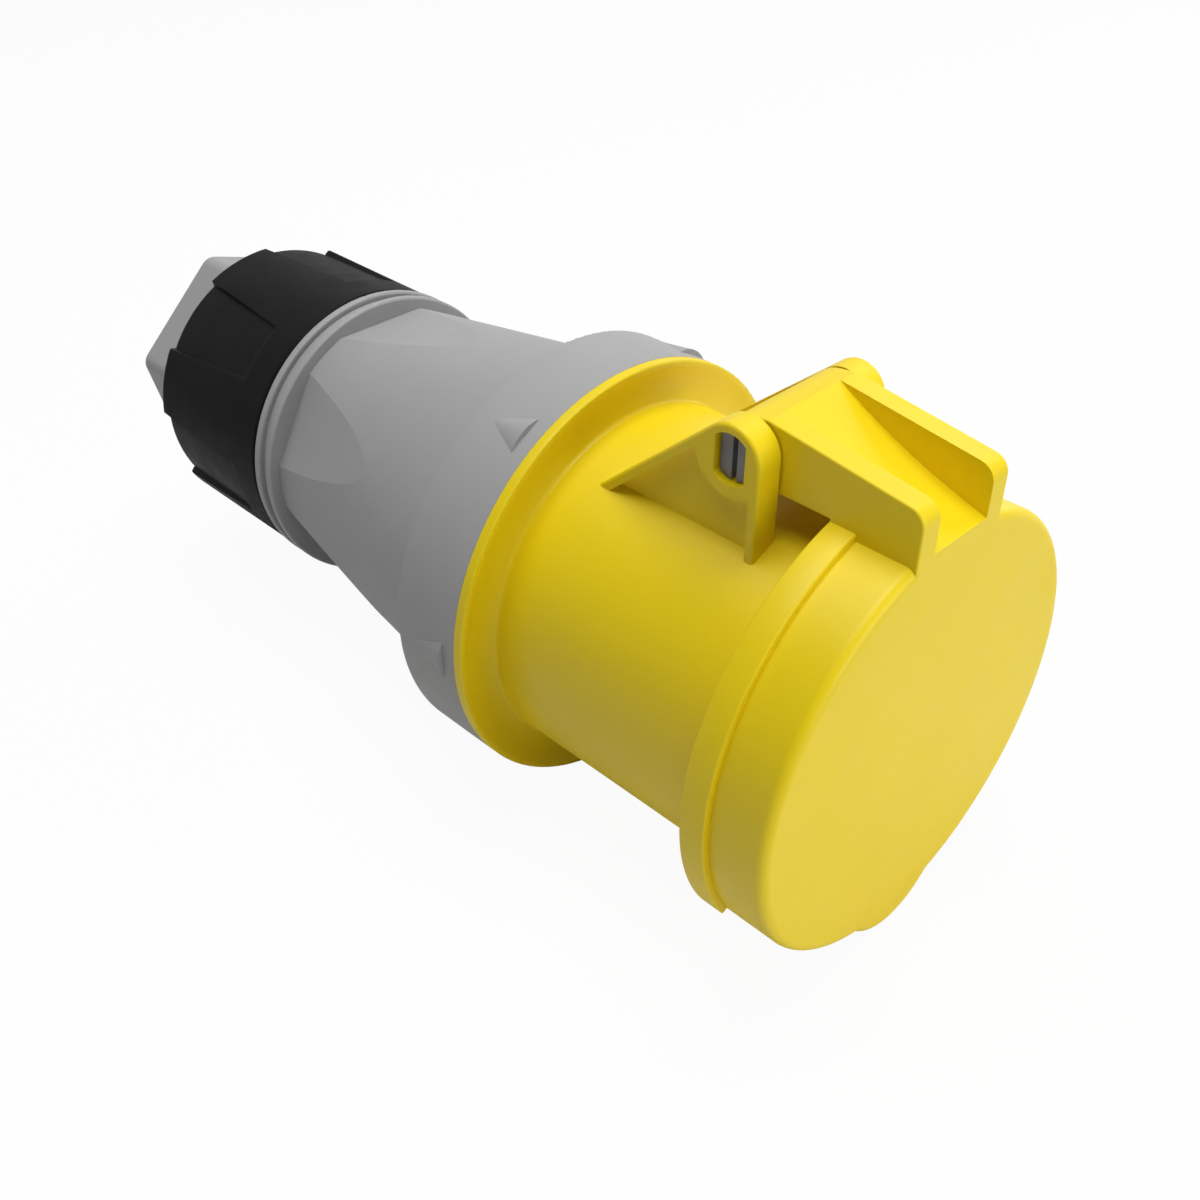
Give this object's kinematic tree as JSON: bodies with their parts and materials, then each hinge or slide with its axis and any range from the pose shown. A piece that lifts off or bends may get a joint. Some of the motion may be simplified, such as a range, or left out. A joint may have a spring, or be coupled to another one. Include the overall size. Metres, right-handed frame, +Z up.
{
  "type": "cable coupler socket",
  "caption": "Round industrial cable coupler: sleeve with recessed contacts, sprung hinged lid, flange and ring, conical rear housing, cable gland nut and clamping sleeve.",
  "frame": {"origin": "on the coupler's axis, in the plane of the front flange's rim, which is also a point of the pilot contact's bore", "axes": "+X along the coupler's axis, out of the socket's mouth towards the lid; +Z up, through the lid's hinge; +Y to the side"},
  "size_m": [0.2568, 0.1136, 0.1273],
  "materials": {
    "yellow_plastic": "moulded plastic, satin",
    "grey_plastic": "moulded plastic, fine grain",
    "black_plastic": "moulded plastic, satin",
    "light_grey_plastic": "moulded plastic, fine grain",
    "insulating_plastic": "moulded thermoset, satin",
    "black_rubber": "moulded rubber",
    "contact_brass": "turned, bright",
    "screw_steel": "zinc plated",
    "spring_steel": "drawn wire",
    "pin_plastic": "moulded plastic"
  },
  "bodies": {
    "housing": {"front_housing": "yellow_plastic", "hinge_pin": "pin_plastic", "lid_spring": "spring_steel", "contact_carrier": "insulating_plastic", "carrier_plate": "insulating_plastic", "line_contact_1": "contact_brass", "line_contact_2": "contact_brass", "earth_contact": "contact_brass", "pilot_contact": "contact_brass", "terminal_screws": "screw_steel", "carrier_screws": "screw_steel", "plate_screws": "screw_steel", "housing_seal": "black_rubber", "rear_housing": "grey_plastic", "cable_seal": "black_rubber"},
    "lid": {"lid": "yellow_plastic", "lid_gasket": "black_rubber"},
    "clamp": {"clamping_sleeve": "light_grey_plastic", "thrust_ring": "light_grey_plastic"},
    "nut": {"gland_nut": "black_plastic"}
  },
  "joints": [
    {"name": "lid_hinge", "type": "hinge", "parent": "housing", "child": "lid", "pos_m": [0.0465, 0, 0.0615], "axis": [0, -1, 0], "range_deg": [0, 180], "stiffness_Nm_per_rad": 0.08, "springref_deg": -74.48},
    {"name": "gland_travel", "type": "slide", "parent": "housing", "child": "clamp", "axis": [-1, 0, 0], "range_m": [0, 0.012]},
    {"name": "nut_turn", "type": "hinge", "parent": "clamp", "child": "nut", "pos_m": [-0.127, 0, 0], "axis": [-1, 0, 0], "range_deg": [0, 1080]}
  ],
  "couplings": [
    {"joint": "gland_travel", "follows": "nut_turn", "m_per_rad": 0.0006366}
  ]
}
